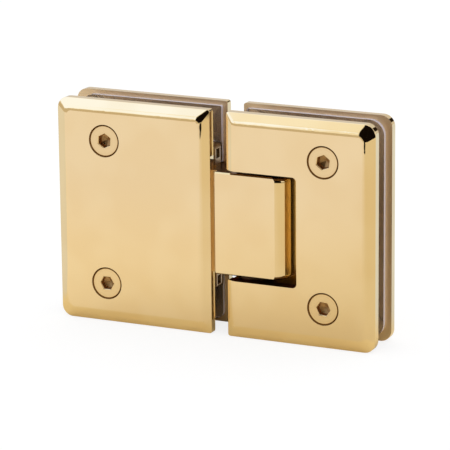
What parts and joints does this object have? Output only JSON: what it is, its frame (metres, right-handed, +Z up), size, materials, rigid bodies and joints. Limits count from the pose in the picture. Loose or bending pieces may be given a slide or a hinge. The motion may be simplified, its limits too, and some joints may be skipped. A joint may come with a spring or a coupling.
{
  "type": "glass door hinge",
  "caption": "Glass-to-glass shower door hinge with bevelled cover plates, a knuckle in the door leaf's notch, clear gaskets and countersunk socket screws.",
  "frame": {"origin": "centre of the rectangle under the hinge, at the plates' bottom edges", "axes": "+X from the fixed leaf to the door leaf, +Y from the front plates to the rear plates, +Z up along the pin"},
  "size_m": [0.135, 0.0236, 0.09],
  "materials": {
    "polished_gold": "mirror polished",
    "gold_casting": "as cast, satin",
    "gold_screw": "polished",
    "clear_vinyl": "clear soft vinyl",
    "clear_sleeve": "clear soft vinyl",
    "bright_steel": "ground",
    "dark_steel": "black oxide",
    "oiled_bronze": "sintered bronze, oiled"
  },
  "bodies": {
    "fixed_leaf": {"fixed_front_plate": "polished_gold", "fixed_rear_plate": "polished_gold", "fixed_front_gasket": "clear_vinyl", "fixed_rear_gasket": "clear_vinyl", "fixed_upper_screw": "gold_screw", "fixed_upper_sleeve": "clear_sleeve", "fixed_lower_screw": "gold_screw", "fixed_lower_sleeve": "clear_sleeve", "hinge_body": "polished_gold", "spring_cover": "bright_steel", "upper_bush": "oiled_bronze", "upper_roller": "bright_steel", "upper_roller_axle": "bright_steel", "upper_plunger": "bright_steel", "upper_spring": "bright_steel", "upper_cover_screw": "dark_steel", "upper_body_screw": "dark_steel", "lower_bush": "oiled_bronze", "lower_roller": "bright_steel", "lower_roller_axle": "bright_steel", "lower_plunger": "bright_steel", "lower_spring": "bright_steel", "lower_cover_screw": "dark_steel", "lower_body_screw": "dark_steel"},
    "door_leaf": {"door_front_plate": "polished_gold", "door_rear_plate": "polished_gold", "door_front_gasket": "clear_vinyl", "door_rear_gasket": "clear_vinyl", "door_upper_screw": "gold_screw", "door_upper_sleeve": "clear_sleeve", "door_lower_screw": "gold_screw", "door_lower_sleeve": "clear_sleeve", "pivot_pin": "bright_steel", "pin_bracket": "gold_casting", "upper_roll_pin": "bright_steel", "lower_roll_pin": "bright_steel", "upper_bracket_screw": "dark_steel", "lower_bracket_screw": "dark_steel"}
  },
  "joints": [
    {"name": "door_swing", "type": "hinge", "parent": "fixed_leaf", "child": "door_leaf", "pos_m": [0.0135, 0, 0.045], "axis": [0, 0, 1], "range_deg": [-90, 90]}
  ]
}
